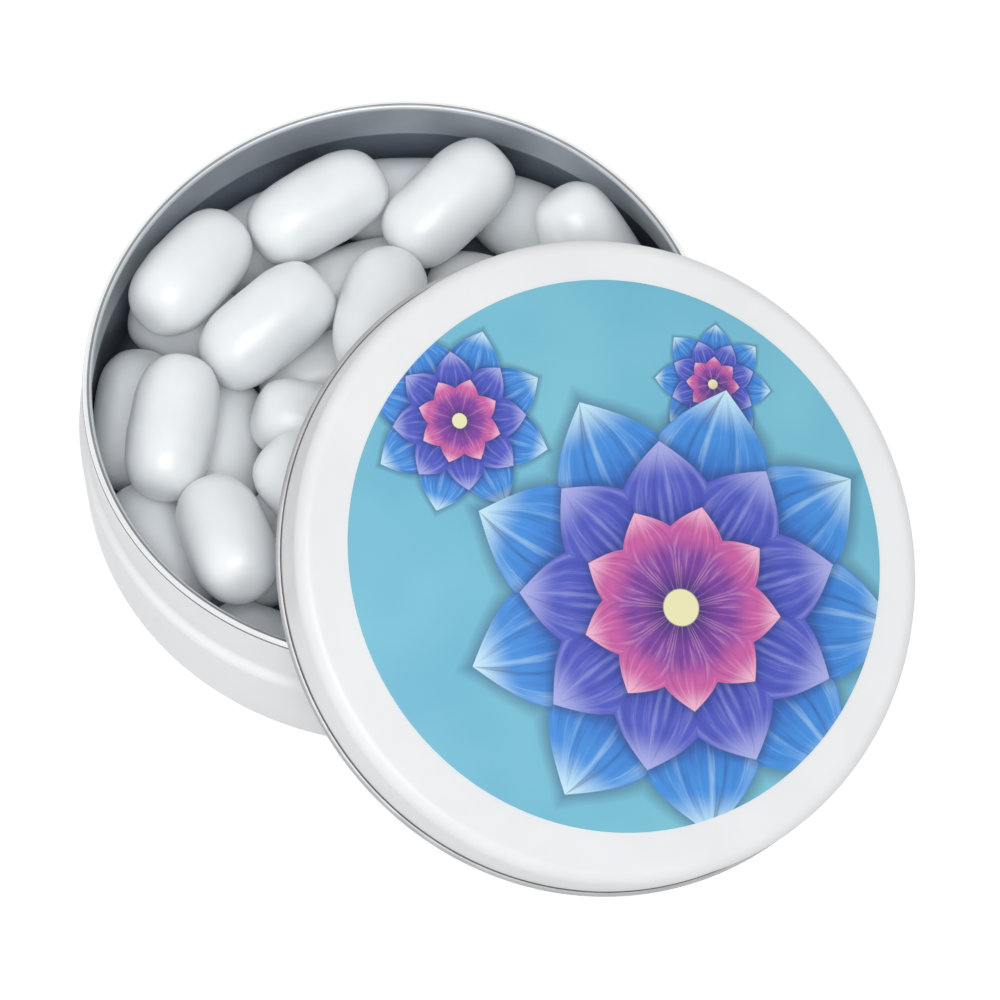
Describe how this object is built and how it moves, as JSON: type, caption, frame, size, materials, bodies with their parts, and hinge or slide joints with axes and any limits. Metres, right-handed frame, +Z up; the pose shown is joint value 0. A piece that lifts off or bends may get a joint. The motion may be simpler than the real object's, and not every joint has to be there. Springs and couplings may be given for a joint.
{
  "type": "round mint tin",
  "caption": "Small round slip-lid tin, open, with its lid leaning on the rim and filled with white pill-shaped mints.",
  "frame": {"origin": "centre of the tin's flat bottom, on the table", "axes": "+Z up along the tin's axis, +X the way the leaning lid slopes down"},
  "size_m": [0.0698, 0.0521, 0.0255],
  "materials": {
    "white_lacquer": "gloss white lacquer on tinplate, bare tinplate inside",
    "label_print": "gloss printed film label with a plain abstract design",
    "sugar_coating": "polished white sugar coating"
  },
  "bodies": {
    "tin": {"tin_base": "white_lacquer", "mint_07": "sugar_coating", "mint_08": "sugar_coating", "mint_09": "sugar_coating", "mint_10": "sugar_coating", "mint_11": "sugar_coating", "mint_12": "sugar_coating", "mint_13": "sugar_coating", "mint_14": "sugar_coating", "mint_15": "sugar_coating", "mint_16": "sugar_coating", "mint_17": "sugar_coating", "mint_18": "sugar_coating", "mint_19": "sugar_coating", "mint_20": "sugar_coating", "mint_21": "sugar_coating", "mint_22": "sugar_coating", "mint_23": "sugar_coating", "mint_24": "sugar_coating", "mint_25": "sugar_coating", "mint_26": "sugar_coating", "mint_27": "sugar_coating", "mint_28": "sugar_coating", "mint_29": "sugar_coating", "mint_30": "sugar_coating", "mint_31": "sugar_coating", "mint_32": "sugar_coating", "mint_33": "sugar_coating", "mint_34": "sugar_coating", "mint_35": "sugar_coating", "mint_36": "sugar_coating", "mint_37": "sugar_coating"},
    "lid": {"lid": "white_lacquer", "lid_label": "label_print"},
    "loose_mint_1": {"mint_01": "sugar_coating"},
    "loose_mint_2": {"mint_02": "sugar_coating"},
    "loose_mint_3": {"mint_03": "sugar_coating"},
    "loose_mint_4": {"mint_04": "sugar_coating"},
    "loose_mint_5": {"mint_05": "sugar_coating"},
    "loose_mint_6": {"mint_06": "sugar_coating"}
  },
  "joints": [
    {"name": "lid_lift", "type": "slide", "parent": "tin", "child": "lid", "axis": [0, 0, 1], "range_m": [0, 0.06]},
    {"name": "mint_1_lift", "type": "slide", "parent": "tin", "child": "loose_mint_1", "axis": [0, 0, 1], "range_m": [0, 0.03]},
    {"name": "mint_2_lift", "type": "slide", "parent": "tin", "child": "loose_mint_2", "axis": [0, 0, 1], "range_m": [0, 0.03]},
    {"name": "mint_3_lift", "type": "slide", "parent": "tin", "child": "loose_mint_3", "axis": [0, 0, 1], "range_m": [0, 0.03]},
    {"name": "mint_4_lift", "type": "slide", "parent": "tin", "child": "loose_mint_4", "axis": [0, 0, 1], "range_m": [0, 0.03]},
    {"name": "mint_5_lift", "type": "slide", "parent": "tin", "child": "loose_mint_5", "axis": [0, 0, 1], "range_m": [0, 0.03]},
    {"name": "mint_6_lift", "type": "slide", "parent": "tin", "child": "loose_mint_6", "axis": [0, 0, 1], "range_m": [0, 0.03]}
  ]
}
